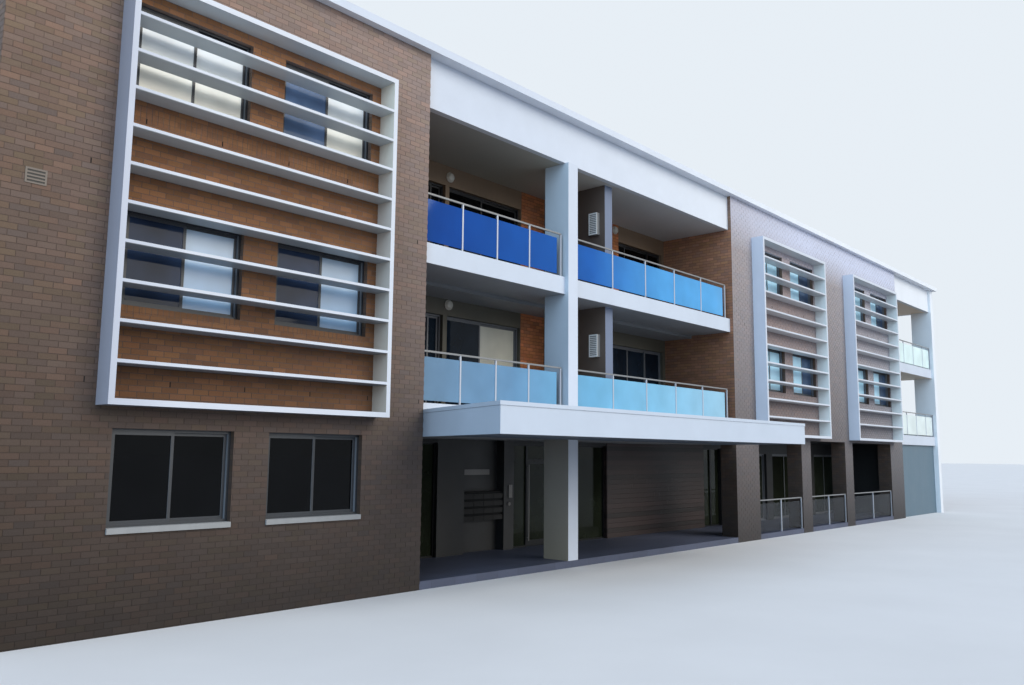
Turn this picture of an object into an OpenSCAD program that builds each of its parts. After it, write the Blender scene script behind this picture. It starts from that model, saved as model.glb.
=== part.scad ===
// Three-storey apartment block: brick wings with louvred sunshades either side of a white
// balcony recess, a skewed entrance canopy, a pillared porch and corner balconies.
// Distances are in millimetres. X runs along the street front from the left side of the
// balcony recess, Y runs into the building from the street front, and Z is the height above
// the entrance floor. Every piece is then shifted so that the origin is under the middle.

/* [Storeys] */
// Height of the first upper floor above the entrance floor
floor_1 = 3262; // [3200:2:3320]
// Height from floor to floor above that: 36 brick courses
storey_h = 3096; // [2950:4:3200]
// Height of the underside of the roof and of the white fascias
head_z = 9070; // [9000:10:9200]
// Height of the wall tops under the roof capping
wall_top = 10100; // [9900:10:10200]
// Height of the roof capping
cap_h = 155; // [80:5:200]
// Overhang of the roof capping
cap_out = 165; // [60:5:180]
// Height of the underside of the right wing's brick, over the porch
wing_bottom = 2844; // [2800:4:2880]
// Thickness of the ground slab
ground_t = 150; // [100:10:200]

/* [Plan] */
// Length of the left brick wing
left_w = 7440; // [7200:10:7450]
// Width of the balcony recess
recess_w = 12250; // [12150:10:12280]
// Length of the right brick wing
right_w = 14550; // [14450:10:14580]
// Length of the corner balconies
corner_w = 5250; // [5100:10:5260]
// Depth of the whole building
depth = 12960; // [12000:10:14000]
// Thickness of the outer walls
wall_t = 250; // [230:10:300]
// Depth of the balconies from the brick face to the wall behind them
recess_d = 2350; // [2250:10:2400]
// Depth of the porch and of the entrance under the balconies
porch_d = 2450; // [2440:10:2600]
// Distance of the white slab edges and fascias behind the brick face
edge_in = 100; // [60:10:140]
// Thickness of the floors inside
floor_t = 250; // [200:10:300]

/* [Windows] */
// Width of a window
win_w = 1840; // [1600:10:1900]
// Height of an upper window's sill above its floor
win_sill = 1078; // [900:2:1200]
// Height of an upper window
win_h = 1380; // [1200:10:1500]
// Height of a ground floor window above the entrance floor
win_sill_0 = 1270; // [1200:10:1400]
// Height of a ground floor window
win_h_0 = 1350; // [1200:10:1400]
// Height of the pale sills under the ground floor windows
sill_h = 80; // [50:5:100]
// Distance of the frames behind the brick face
win_set = 90; // [60:10:120]
// Width of an outer frame bar seen from the front
bar_w = 40; // [35:5:60]
// Depth of a frame from front to back
bar_d = 90; // [84:2:120]
// Width of the bars of a sliding sash
sash_w = 45; // [40:5:60]
// Thickness of the glass
glass_t = 10; // [8:1:20]

/* [Sunshades] */
// Outer width of a sunshade
shade_w = 4820; // [4600:10:4880]
// Height of the sunshades' undersides
shade_z = 2924; // [2900:2:2960]
// Height of a sunshade
shade_h = 6150; // [6080:2:6180]
// How far a sunshade stands out from the brick
shade_d = 390; // [300:10:500]
// Thickness of its four plates
shade_t = 85; // [60:5:110]
// Number of louvre blades in a sunshade
blades = 10; // [8:1:10]
// Distance from blade to blade
blade_step = 549; // [520:1:552]
// Height of the lowest blade above the sunshade's underside
blade_first = 560; // [540:1:600]
// Thickness of a blade
blade_t = 55; // [30:5:60]

/* [Balconies] */
// Height of the white slab edges
edge_h = 400; // [350:10:420]
// Height of the handrails above the slab
rail_h = 1010; // [940:10:1050]
// Width of the posts and height of the handrail
post_w = 35; // [30:5:60]
// Distance from the slab edge to the front of the rail
rail_in = 40; // [30:5:100]

/* [Canopy] */
// How far the canopy stands out from the front
canopy_d = 3100; // [2800:10:3300]
// Distance that the canopy is skewed to the left over that
canopy_skew = 1240; // [1100:10:1350]
// Length of the canopy along the front
canopy_w = 11120; // [10800:10:11200]
// Height of the canopy's lower edge
canopy_z = 2622; // [2600:2:2640]
// Height of the canopy's upper edge
canopy_top = 3128; // [3100:2:3140]

/* [Entrance] */
// Clear width of the entrance doorway
door_w = 900; // [850:10:910]
// Height of the doorway
door_h = 2150; // [2050:10:2250]
// Gap around the door leaf
leaf_gap = 8; // [6:1:12]
// Thickness of the door leaf
leaf_t = 45; // [40:5:60]
// Width of the bars of the door leaf
stile_w = 75; // [60:5:110]
// Depth of the niche that holds the letterboxes
niche_d = 250; // [250:10:300]

/* [Hidden] */
$fn = 48;

// Outer corners of the building in plan
x_left = -left_w;
x_wing = recess_w + right_w;
x_right = x_wing + corner_w;
x_mid = (x_left + x_right) / 2;
// Inner face of the right end wall
end_x = x_right - wall_t;
y_mid = (depth + cap_out - canopy_d) / 2;
// Extra length of a cutting shape past the face that it cuts
over = 100;
// Underside of the floor over the ground floor, and of the lowest balcony
under = floor_1 - floor_t;
recess_soffit = canopy_z + 22;
// White fin at the corner, as high as the walls: its width and its depth
fin_w = 350;
fin_d = 880;
fin_x = x_right - fin_w;

function floor_z(level) = level == 0 ? 0 : floor_1 + (level - 1) * storey_h;
// Left ends of the three sunshades
shade_x = [-5950, 13570, 20985];
function sill_z(level) = level == 0 ? win_sill_0 : floor_z(level) + win_sill;
function lintel_z(level) = sill_z(level) + (level == 0 ? win_h_0 : win_h);

// Left end of each window along its wall
left_windows = [-5700, -3250];
right_windows = [13879, 16329, 21334, 23784];
back_windows = [for (i = [0 : 7]) x_left + 1500 + i * 4960];
end_windows = [3600, 8400];
// Openings of a level as [left, right, bottom, top, where the sashes meet]
function row(xs, level) = [for (x = xs)
    [x, x + win_w, sill_z(level), lintel_z(level), [x + win_w / 2]]];
left_holes = [for (l = [0 : 2]) each row(left_windows, l)];
right_holes = [for (l = [1 : 2]) each row(right_windows, l)];
back_holes = [for (l = [0 : 2]) each row(back_windows, l)];
end_holes = [for (l = [0 : 2]) each row(end_windows, l)];

// Heights of the heads of the sliding doors, upstairs and behind the porch
door_head = 2230;
porch_head = 2400;
// A door as [left, right, bottom, top, where the sashes meet]
function door(level, left, right, meet) = [left, right, floor_z(level),
    floor_z(level) + (level == 0 ? porch_head : door_head), meet];
recess_doors = [for (l = [1, 2]) each [
    door(l, 700, 2680, [2300]), door(l, 2810, 5370, [4000]), door(l, 6950, 9000, [7975]),
    l == 1 ? door(l, 9320, 12100, [10300, 11240]) : door(l, 9745, 12100, [10200, 11440])]];
corner_doors = [for (l = [1, 2]) door(l, 28100, 30700, [29400])];
upper_doors = concat(recess_doors, corner_doors);
porch_doors = [door(0, 16900, 19300, [18100]), door(0, 19800, 22200, [21000]),
    door(0, 23600, 26000, [24800])];

// Ground floor wall behind the recess, from left to right
strip_x = [900, 2700];
niche_x = [3564, 4938];
entry_x = [5300, 9220];
timber_x = [9220, 14670];
side_x = [14670, 15900];
entry_head_z = 2560;
doorway_x = [5900, 5900 + door_w];
leaf_x = [doorway_x[0] + leaf_gap, doorway_x[1] - leaf_gap];
leaf_y = [porch_d + 110, porch_d + 110 + leaf_t];
leaf_z = [10, door_h - leaf_gap];

pillar_x = [4370, 4720];
pillar_d = 700;
divider_x = [6315, 6625];
divider_y = 370;
// The underside of the upper recess balcony is lower behind this line
drop_y = 1400;
drop_t = 85;
// Pale wall under the corner balconies
corner_wall_y = [200, 450];
pier_d = 500;
piers = [[recess_w, 13690], [16770, 17500], [20540, 21260], [25340, x_wing]];

brick = "rosybrown";
white = "white";
render_grey = "dimgray";
concrete = "silver";
dark_metal = "darkslategray";
silver_metal = "gainsboro";
glass_blue = [0.55, 0.68, 0.78, 0.5];

module place() translate([-x_mid, -y_mid, ground_t]) children();

module block(x, y, z) translate([x[0], y[0], z[0]]) cube([x[1] - x[0], y[1] - y[0], z[1] - z[0]]);

module plan(x, y) translate([x[0], y[0]]) square([x[1] - x[0], y[1] - y[0]]);

// A wall along X with openings given as [left, right, bottom, top]
module wall_x(x, y, z, holes) difference() {
    block(x, y, z);
    for (h = holes) block([h[0], h[1]], [y[0] - over, y[1] + over], [h[2], h[3]]);
}

// A wall along Y with openings given as [front, back, bottom, top]
module wall_y(x, y, z, holes) difference() {
    block(x, y, z);
    for (h = holes) block([x[0] - over, x[1] + over], [h[0], h[1]], [h[2], h[3]]);
}

// Ground slab inside the walls, open to the front under the recess and the porch
module ground_slab() color(concrete) place()
    translate([0, 0, -ground_t]) linear_extrude(ground_t) difference() {
        plan([x_left + wall_t, end_x], [0, depth - wall_t]);
        plan([x_left, 0], [-1, wall_t]);
        plan([x_wing, x_right], [-1, corner_wall_y[1]]);
        plan([fin_x, x_right], [-1, fin_d]);
        for (p = piers) plan(p, [-1, pier_d]);
    }

// Floors inside the walls, set back behind the recess and the corner balconies
module floor_slabs() color(concrete) place() for (l = [1, 2])
    translate([0, 0, floor_z(l) - floor_t]) linear_extrude(floor_t) difference() {
        plan([x_left + wall_t, end_x], [wall_t, depth - wall_t]);
        plan([-wall_t, recess_w + wall_t], [0, recess_d]);
        plan([x_wing - wall_t, x_right], [0, recess_d]);
    }

// Roof inside the walls, cut round the corner fin
module roof_slab() color(concrete) place()
    translate([0, 0, head_z]) linear_extrude(floor_t) difference() {
        plan([x_left + wall_t, end_x], [wall_t, depth - wall_t]);
        plan([fin_x, x_right], [0, fin_d]);
    }

// Metal capping over the wall tops: two long runs with the end runs between them
cap_in = wall_t + 30;
cap_z = [wall_top, wall_top + cap_h];

module capping_front_back() color(white) place()
    for (y = [[-cap_out, cap_in], [depth - cap_in, depth + cap_out]])
        block([x_left - cap_out, x_right + cap_out], y, cap_z);

module capping_ends() color(white) place()
    for (x = [[x_left - cap_out, x_left + cap_in], [x_right - cap_in, x_right + cap_out]])
        block(x, [cap_in, depth - cap_in], cap_z);

// The front openings of the ground floor reach down to the underside of their sills
module front_wall_left() color(brick) place() difference() {
    wall_x([x_left, 0], [0, wall_t], [-ground_t, wall_top], left_holes);
    for (x = left_windows)
        block([x, x + win_w], [-over, wall_t + over], [win_sill_0 - sill_h, win_sill_0 + over]);
}

module front_wall_right() color(brick) place()
    wall_x([recess_w, x_wing], [0, wall_t], [wing_bottom, wall_top], right_holes);

module back_wall() color(brick) place()
    wall_x([x_left, x_right], [depth - wall_t, depth], [-ground_t, wall_top], back_holes);

module left_end_wall() color(brick) place()
    wall_y([x_left, x_left + wall_t], [wall_t, depth - wall_t], [-ground_t, wall_top], end_holes);

// The right end wall starts behind the corner balconies
module right_end_wall() color(brick) place()
    wall_y([end_x, x_right], [recess_d, depth - wall_t], [-ground_t, wall_top], end_holes);

module porch_piers() color(brick) place()
    for (p = piers) block(p, [0, pier_d], [-ground_t, wing_bottom]);

module porch_ceiling() color(render_grey) place()
    block([recess_w + wall_t, x_wing - wall_t], [wall_t, porch_d], [wing_bottom, under]);

module white_fascias() color(white) place()
    for (x = [[0, recess_w], [x_wing, fin_x]]) block(x, [edge_in, wall_t], [head_z, wall_top]);

module end_fascia() color(white) place()
    block([end_x, x_right], [fin_d, recess_d], [head_z, wall_top]);

// Brick walls between the balconies and the wings, deeper beside the porch
module balcony_side_walls() color(brick) place()
    for (w = [[-wall_t, 0], [recess_w, wing_bottom], [x_wing - wall_t, wing_bottom]]) {
        block([w[0], w[0] + wall_t], [wall_t, recess_d], [w[1], head_z]);
        block([w[0], w[0] + wall_t], [wall_t, porch_d], [w[1], under]);
    }

// Door openings that also cut through the foot of their wall
function through(doors) = [for (d = doors) [d[0], d[1], d[2] - over, d[3]]];

// A wall behind the balconies of both upper storeys, with its sliding doors cut out
module door_wall(x, doors) for (l = [1, 2]) {
    head = l == 2 ? head_z : floor_z(2) - floor_t;
    wall_x(x, [recess_d, recess_d + wall_t], [floor_z(l), head],
        through([for (d = doors) if (d[2] == floor_z(l)) d]));
}

module recess_back_walls() color(render_grey) place()
    door_wall([-wall_t, recess_w + wall_t], recess_doors);

module corner_back_walls() color("linen") place()
    door_wall([x_wing - wall_t, end_x], corner_doors);

module corner_ground_walls() color("lightsteelblue") place() {
    z = [-ground_t, floor_1 - edge_h];
    block([x_wing, fin_x], corner_wall_y, z);
    block([end_x, x_right], [fin_d, recess_d], z);
}

// Dark wall with the letterbox niche, the wall behind the porch and the porch's end wall
module porch_wall() color(render_grey) place() {
    y = [porch_d, porch_d + wall_t];
    block([-wall_t, strip_x[0]], y, [0, under]);
    linear_extrude(under) {
        plan([strip_x[1], niche_x[0]], y);
        plan([niche_x[1], entry_x[0]], y);
        plan([niche_x[0] - 50, niche_x[1] + 50], [porch_d + niche_d, porch_d + niche_d + 150]);
    }
    wall_x([side_x[1], x_wing], y, [0, under], through(porch_doors));
    block([x_wing - wall_t, x_wing], [pier_d, porch_d], [0, wing_bottom]);
}

module timber_wall() color("saddlebrown") place()
    block(timber_x, [porch_d, porch_d + wall_t], [0, under]);

module divider_walls() color(render_grey) place() for (l = [1, 2])
    block(divider_x, [divider_y, recess_d], [floor_z(l), l == 2 ? head_z : floor_z(2) - edge_h]);

module pillar() color(white) place() block(pillar_x, [0, pillar_d], [0, head_z]);

// The canopy's skewed outline in plan, with a strip back to the slab edge; it can be
// shrunk by an inset on its three free sides
module canopy_plan(inset) {
    side = inset / cos(atan(canopy_skew / canopy_d));
    shift = canopy_skew * (1 - inset / canopy_d);
    polygon([[side, edge_in], [side, 0], [side - shift, inset - canopy_d],
        [canopy_w - side - shift, inset - canopy_d], [canopy_w - side, 0], [canopy_w - side, edge_in]]);
}

// A flat tray: fascia all round, a slightly proud band along its top, a raised soffit
module canopy() color(white) place() {
    band = 66;
    lip = 12;
    fascia_t = 120;
    soffit = recess_soffit - canopy_z;
    difference() {
        union() {
            translate([0, 0, canopy_z]) linear_extrude(canopy_top - band - canopy_z + 1)
                canopy_plan(lip);
            translate([0, 0, canopy_top - band]) linear_extrude(band) canopy_plan(0);
        }
        translate([0, 0, canopy_z - 1]) linear_extrude(soffit + 1) canopy_plan(fascia_t);
        block(pillar_x, [0, pillar_d], [canopy_z - over, canopy_top + over]);
    }
}

// Balcony floors with their white edges, cut round the pillar and the corner fin
module balcony_slabs() color(white) place() {
    for (s = [[recess_soffit, under, porch_d], [recess_soffit, floor_1, recess_d],
            [floor_z(2) - edge_h, floor_z(2), recess_d]])
        translate([0, 0, s[0]]) linear_extrude(s[1] - s[0]) difference() {
            plan([0, recess_w], [edge_in, s[2]]);
            plan(pillar_x, [0, pillar_d]);
        }
    translate([0, 0, floor_z(2) - edge_h - drop_t]) linear_extrude(drop_t + 1) difference() {
        plan([0, recess_w], [drop_y, recess_d]);
        plan(divider_x, [0, recess_d + 1]);
    }
    for (l = [1, 2]) translate([0, 0, floor_z(l) - edge_h]) linear_extrude(edge_h) difference() {
        plan([x_wing, x_right], [edge_in, recess_d]);
        plan([fin_x, x_right + 1], [0, fin_d]);
    }
}

module corner_fin() color(white) place() block([fin_x, x_right], [0, fin_d], [-ground_t, wall_top]);

// Each sunshade is a box of four plates that carries the louvre blades
module sunshade_sides() color(white) place() for (x = shade_x) for (s = [0, shade_w - shade_t])
    block([x + s, x + s + shade_t], [-shade_d, 0], [shade_z, shade_z + shade_h]);

module sunshade_ends() color(white) place() for (x = shade_x) for (s = [0, shade_h - shade_t])
    block([x + shade_t, x + shade_w - shade_t], [-shade_d, 0], [shade_z + s, shade_z + s + shade_t]);

// A blade is a flat bar with a chamfered front edge, held between the side plates
module blade_profile() {
    front = -shade_d;
    back = -25;
    bevel = 8;
    polygon([[front, bevel], [front + bevel, 0], [back, 0], [back, blade_t],
        [front + bevel, blade_t], [front, blade_t - bevel]]);
}

module louvre_blades() color(white) place() for (x = shade_x) for (i = [0 : blades - 1])
    translate([x + shade_t, 0, shade_z + blade_first + i * blade_step])
        rotate([90, 0, 90]) linear_extrude(shade_w - 2 * shade_t) blade_profile();

// A rectangular frame of bars w wide round the opening h = [left, right, bottom, top]
module ring(h, y, w) difference() {
    block([h[0], h[1]], y, [h[2], h[3]]);
    block([h[0] + w, h[1] - w], [y[0] - 1, y[1] + 1], [h[2] + w, h[3] - w]);
}

module pane(h, y, w) block([h[0] + w, h[1] - w], [y - glass_t / 2, y + glass_t / 2],
    [h[2] + w, h[3] - w]);

// Sashes of a sliding window or door: they overlap where they meet, and every second one
// runs on the rear track
function ends(h) = concat([h[0] + bar_w], h[4], [h[1] - bar_w]);
function sashes(h) = let (e = ends(h), last = len(e) - 2) [for (i = [0 : last])
    [e[i] - (i > 0 ? sash_w / 2 : 0), e[i + 1] + (i < last ? sash_w / 2 : 0),
        h[2] + bar_w, h[3] - bar_w, win_set + (i % 2 == 0 ? 8 : bar_d - 40)]];
sash_d = 32;

module slider(h) {
    ring(h, [win_set, win_set + bar_d], bar_w);
    for (s = sashes(h)) ring(s, [s[4], s[4] + sash_d], sash_w);
}

module slider_glass(h) for (s = sashes(h)) pane(s, s[4] + sash_d / 2, sash_w);

// Shapes drawn for the front are turned to the back or to an end of the building
module to_back() translate([0, depth, 0]) mirror([0, 1, 0]) children();
module to_left() translate([x_left, 0, 0]) mirror([1, -1, 0]) children();
module to_right() translate([x_right, 0, 0]) rotate(90) children();

module window_frames() color(dark_metal) place() {
    for (h = concat(left_holes, right_holes)) slider(h);
    to_back() for (h = back_holes) slider(h);
    to_left() for (h = end_holes) slider(h);
    to_right() for (h = end_holes) slider(h);
}

module window_glass() color(glass_blue) place() {
    for (h = concat(left_holes, right_holes)) slider_glass(h);
    to_back() for (h = back_holes) slider_glass(h);
    to_left() for (h = end_holes) slider_glass(h);
    to_right() for (h = end_holes) slider_glass(h);
}

// Drawn blinds inside the upper windows, as [level, window, from, to] across the window
left_blinds = [[2, 0, 0, 1], [2, 1, 0.5, 1], [1, 0, 0.5, 1], [1, 1, 0.5, 1]];
right_blinds = [for (l = [1, 2]) for (w = [0 : 3]) [l, w, 0, w % 2 == 0 ? 0.9 : 0.4]];

module blind(h, from, to) {
    w = h[1] - h[0] - 2 * bar_w;
    block([h[0] + bar_w + from * w, h[0] + bar_w + to * w], [wall_t - 40, wall_t - 28],
        [h[2] + bar_w, h[3] - bar_w]);
}

module window_blinds() color("whitesmoke") place() {
    for (b = left_blinds) blind(row(left_windows, b[0])[b[1]], b[2], b[3]);
    for (b = right_blinds) blind(row(right_windows, b[0])[b[1]], b[2], b[3]);
    translate([0, recess_d, 0]) blind(recess_doors[1], 0.56, 0.9);
}

module window_sills() color("lightgray") place() for (x = left_windows)
    block([x, x + win_w], [-35, wall_t], [win_sill_0 - sill_h, win_sill_0]);

module sliding_doors() color(dark_metal) place() {
    translate([0, recess_d, 0]) for (h = upper_doors) slider(h);
    translate([0, porch_d, 0]) for (h = porch_doors) slider(h);
}

// Fixed glazed screens of the ground floor as [left, right, panes]
screens = [[strip_x[0], strip_x[1], 3], [entry_x[0], doorway_x[0], 1],
    [doorway_x[1], entry_x[1], 2], [side_x[0], side_x[1], 2]];
frame_y = [porch_d + win_set, porch_d + win_set + bar_d];
glass_y = porch_d + win_set + bar_d / 2;
// The panes of a screen as [left, right, bottom, top], each with half a bar to its sides
function cells(s) = [for (i = [0 : s[2] - 1]) let (w = (s[1] - s[0]) / s[2])
    [s[0] + i * w, s[0] + (i + 1) * w, 0, entry_head_z]];
transom = [doorway_x[0], doorway_x[1], door_h, entry_head_z];

module entry_frame() color(dark_metal) place()
    for (s = screens) for (c = cells(s)) ring(c, frame_y, bar_w);

module door_glass() color(glass_blue) place() {
    translate([0, recess_d, 0]) for (h = upper_doors) slider_glass(h);
    translate([0, porch_d, 0]) for (h = porch_doors) slider_glass(h);
    for (s = screens) for (c = cells(s)) pane(c, glass_y, bar_w);
    pane(transom, glass_y, bar_w);
}

// Solid band over the screens, and the transom window over the doorway
module entry_head() color(dark_metal) place() {
    for (x = [strip_x, entry_x, side_x])
        block(x, [porch_d, porch_d + wall_t], [entry_head_z, under]);
    ring(transom, frame_y, bar_w);
}

// The hinged leaf: a bar all round with a deeper one at the foot, and three hinge barrels
leaf_hole = [leaf_x[0] + stile_w, leaf_x[1] - stile_w, leaf_z[0] + 2 * stile_w, leaf_z[1] - stile_w];

hinge_x = 6788;
hinge_r = 7;
hinge_y = leaf_y[1] + hinge_r - 1;

module entry_door() color(dark_metal) place() {
    wall_x(leaf_x, leaf_y, leaf_z, [leaf_hole]);
    for (z = [250, 1050, 1850]) translate([hinge_x, hinge_y, z]) cylinder(r = hinge_r, h = 100);
}

module entry_door_glass() color(glass_blue) place()
    pane(leaf_hole, (leaf_y[0] + leaf_y[1]) / 2, 0);

// Upright flat bar nearly as high as the leaf, on two short stems
module entry_door_pull() color(silver_metal) place() {
    x = leaf_x[0] + 25;
    reach = 70;
    pull_z = [150, 2050];
    block([x - 15, x + 15], [leaf_y[0] - reach, leaf_y[0] - reach + 12], pull_z);
    for (z = [pull_z[0] + 80, pull_z[1] - 80])
        block([x - 9, x + 9], [leaf_y[0] - reach + 11, leaf_y[0]], [z - 9, z + 9]);
}

// Middles of the balustrade posts along each level's slab edge, a list for each bay
upper_bays = [[22.5, 1100, 2131, 3170, 4272],
    [pillar_x[1] + 22.5, 6318, 7788, 9208, 10636, 12050],
    [x_wing + 22.5, 28050, 29310, 30610, fin_x - 22.5]];
porch_bays = [for (i = [0 : 2]) let (a = piers[i][1] + 22.5, b = piers[i + 1][0] - 22.5)
    [a, (a + b) / 2, b]];
function bays(level) = level == 0 ? porch_bays : upper_bays;
// Front of the rails: the porch has no slab edge in front of it
function rail_y(level) = rail_in + (level == 0 ? 0 : edge_in);
side_rail_x = [x_right - rail_in - post_w, x_right - rail_in];
side_rail_y = [fin_d, recess_d];

// Posts under one handrail in each bay, and a rail across the open end of the corner
module balustrade_rails() color(silver_metal) place() {
    for (l = [0 : 2]) for (b = bays(l)) {
        y = [rail_y(l), rail_y(l) + post_w];
        z = floor_z(l) + rail_h - post_w;
        block([b[0] - post_w / 2, b[len(b) - 1] + post_w / 2], y, [z, z + post_w]);
        for (x = b) block([x - post_w / 2, x + post_w / 2], y, [floor_z(l), z + 1]);
    }
    for (l = [1, 2]) {
        z = floor_z(l) + rail_h - post_w;
        block(side_rail_x, side_rail_y, [z, z + post_w]);
        for (y = [side_rail_y[0], side_rail_y[1] - post_w])
            block(side_rail_x, [y, y + post_w], [floor_z(l), z + 1]);
    }
}

// Glass between the posts, clear of the slab and of the handrail
module balustrade_glass() color(glass_blue) place() for (l = [0 : 2]) {
    z = [floor_z(l) + 50, floor_z(l) + rail_h - post_w - 90];
    y = [rail_y(l) + (post_w - glass_t) / 2, rail_y(l) + (post_w + glass_t) / 2];
    for (b = bays(l)) for (i = [0 : len(b) - 2]) {
        end_gap = l > 0 && i == len(b) - 2 ? 120 : 0;
        block([b[i] + post_w / 2, b[i + 1] - post_w / 2 - end_gap], y, z);
    }
    x = side_rail_x[0] + (post_w - glass_t) / 2;
    if (l > 0) block([x, x + glass_t], [side_rail_y[0] + post_w, side_rail_y[1] - post_w], z);
}

// A bank of boxes in the niche: four rows of four flaps with a posting slot over each row
module letterboxes() color(dark_metal) place() {
    x = [niche_x[0] + 5, niche_x[1] - 5];
    z = [740, 1420];
    n = 4;
    gap = 10;
    slot = 56;
    cell = [(x[1] - x[0]) / n, (z[1] - z[0]) / n];
    y = porch_d + 60;
    block(x, [y, porch_d + niche_d], z);
    for (i = [0 : n - 1]) for (k = [0 : n - 1])
        translate([x[0] + i * cell[0], y, z[0] + k * cell[1]])
            block([gap / 2, cell[0] - gap / 2], [-30, 1], [0, cell[1] - slot]);
}

// A bare plate over the letterboxes, the door phone and the lock beside the entrance
module entry_fittings() color(silver_metal) place() {
    y = porch_d + niche_d;
    block([niche_x[0] + 20, niche_x[0] + 1096], [y - 15, y], [1810, 1940]);
    block([5090, 5215], [porch_d - 30, porch_d], [1250, 1560]);
    translate([5110, porch_d, 1100]) rotate([90, 0, 0]) cylinder(d = 90, h = 30);
}

// Round bulkhead lights high on the back walls of the balconies
module wall_lights() color(white) place()
    for (p = [[2842, floor_z(1) + 2480], [2815, floor_z(2) + 2445], [9557, floor_z(2) + 2533]])
        translate([p[0], recess_d, p[1]]) rotate([90, 0, 0]) {
            cylinder(d = 240, h = 30, $fn = 12);
            translate([0, 0, 29]) cylinder(d1 = 215, d2 = 150, h = 60, $fn = 12);
        }

// Slatted white boxes on the divider walls, and a small vent high in the left wing
module wall_vents() color(white) place() {
    slat = 46;
    for (l = [1, 2]) difference() {
        y = [535, 790];
        z = [floor_z(l) + 1450, floor_z(l) + 2010];
        face = divider_x[0] - 120;
        block([face, divider_x[0]], y, z);
        for (i = [0 : 10]) block([face - over, face + 15], [y[0] + 25, y[1] - 25],
            [z[0] + 40 + i * slat, z[0] + 65 + i * slat]);
    }
    difference() {
        block([-7050, -6780], [-12, 0], [5770, 5980]);
        for (i = [0 : 3]) block([-7025, -6805], [-over, -5], [5792 + i * slat, 5816 + i * slat]);
    }
}

ground_slab();
floor_slabs();
roof_slab();
capping_front_back();
capping_ends();
front_wall_left();
front_wall_right();
left_end_wall();
right_end_wall();
back_wall();
porch_piers();
porch_ceiling();
white_fascias();
end_fascia();
balcony_side_walls();
recess_back_walls();
corner_back_walls();
corner_ground_walls();
porch_wall();
timber_wall();
divider_walls();
pillar();
canopy();
balcony_slabs();
corner_fin();
sunshade_sides();
sunshade_ends();
louvre_blades();
window_glass();
window_frames();
window_blinds();
window_sills();
sliding_doors();
door_glass();
entry_frame();
entry_head();
entry_door();
entry_door_glass();
entry_door_pull();
balustrade_rails();
balustrade_glass();
letterboxes();
entry_fittings();
wall_lights();
wall_vents();
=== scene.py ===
"""Looks for the apartment block: bricks, boards, glass, paint and light over the CAD frame.

Lengths are in metres. Points are written as in the part's source: X from the left side of the
balcony recess, Y from the street front into the building, Z up from the entrance floor.
"""

import math

import bpy
import numpy as np
from mathutils import Matrix, Vector


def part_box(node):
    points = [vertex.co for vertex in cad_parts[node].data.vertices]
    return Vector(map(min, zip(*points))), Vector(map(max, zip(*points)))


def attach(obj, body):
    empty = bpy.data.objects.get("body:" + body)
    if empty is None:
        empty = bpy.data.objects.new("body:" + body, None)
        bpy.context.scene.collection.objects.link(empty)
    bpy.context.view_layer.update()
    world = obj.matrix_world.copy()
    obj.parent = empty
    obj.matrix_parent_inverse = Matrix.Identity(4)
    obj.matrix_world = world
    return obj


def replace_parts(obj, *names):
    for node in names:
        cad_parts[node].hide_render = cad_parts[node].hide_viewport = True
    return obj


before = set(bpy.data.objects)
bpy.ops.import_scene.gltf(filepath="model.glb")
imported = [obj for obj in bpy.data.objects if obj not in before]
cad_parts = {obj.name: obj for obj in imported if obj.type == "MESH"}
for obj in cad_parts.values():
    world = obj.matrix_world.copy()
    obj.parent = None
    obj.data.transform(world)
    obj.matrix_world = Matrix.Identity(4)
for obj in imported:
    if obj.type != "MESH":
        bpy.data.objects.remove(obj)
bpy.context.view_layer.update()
rng = np.random.default_rng(11)

FIXED = "building"
ORIGIN = np.array([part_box("front_wall_left")[1].x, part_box("front_wall_left")[0].y,
                   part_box("ground_slab")[1].z])


# --- measuring the frame -------------------------------------------------------------------

def solids(node):
    """The solids of a CAD node as rows of [x0, x1, y0, y1, z0, z1], in the source's coordinates."""
    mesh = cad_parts[node].data
    co = np.empty(len(mesh.vertices) * 3)
    mesh.vertices.foreach_get("co", co)
    co = co.reshape(-1, 3)
    _, same = np.unique(np.round(co, 4), axis=0, return_inverse=True)
    same = same.reshape(-1)
    root = list(range(same.max() + 1))

    def find(i):
        while root[i] != i:
            root[i] = root[root[i]]
            i = root[i]
        return i

    for polygon in mesh.polygons:
        corners = [find(same[v]) for v in polygon.vertices]
        for c in corners[1:]:
            root[c] = corners[0]
            corners[0] = find(corners[0])
    group = np.array([find(i) for i in same])
    rows = []
    for g in np.unique(group):
        low, high = co[group == g].min(0) - ORIGIN, co[group == g].max(0) - ORIGIN
        rows.append(np.stack([low, high], 1).reshape(-1))
    return np.array(rows)


def whole(node):
    """One CAD node's box as [x0, x1, y0, y1, z0, z1], in the source's coordinates."""
    low, high = (np.array(v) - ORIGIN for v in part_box(node))
    return np.stack([low, high], 1).reshape(-1)


# --- mesh code -----------------------------------------------------------------------------

CORNERS = np.array([[i, j, k] for i in (0, 1) for j in (0, 1) for k in (0, 1)])
SIDES = np.array([[0, 1, 3, 2], [4, 6, 7, 5], [0, 4, 5, 1], [2, 3, 7, 6], [0, 2, 6, 4],
                  [1, 5, 7, 3]])


def mesh_piece(name, verts, faces, material, body=FIXED, smooth=False):
    """A piece given by verts in the source's coordinates, which rides on one body."""
    mesh = bpy.data.meshes.new(name)
    mesh.from_pydata((np.asarray(verts, float) + ORIGIN).tolist(), [], faces)
    mesh.materials.append(material)
    if smooth:
        mesh.polygons.foreach_set("use_smooth", [True] * len(mesh.polygons))
    piece = bpy.data.objects.new(name, mesh)
    bpy.context.scene.collection.objects.link(piece)
    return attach(piece, body)


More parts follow.
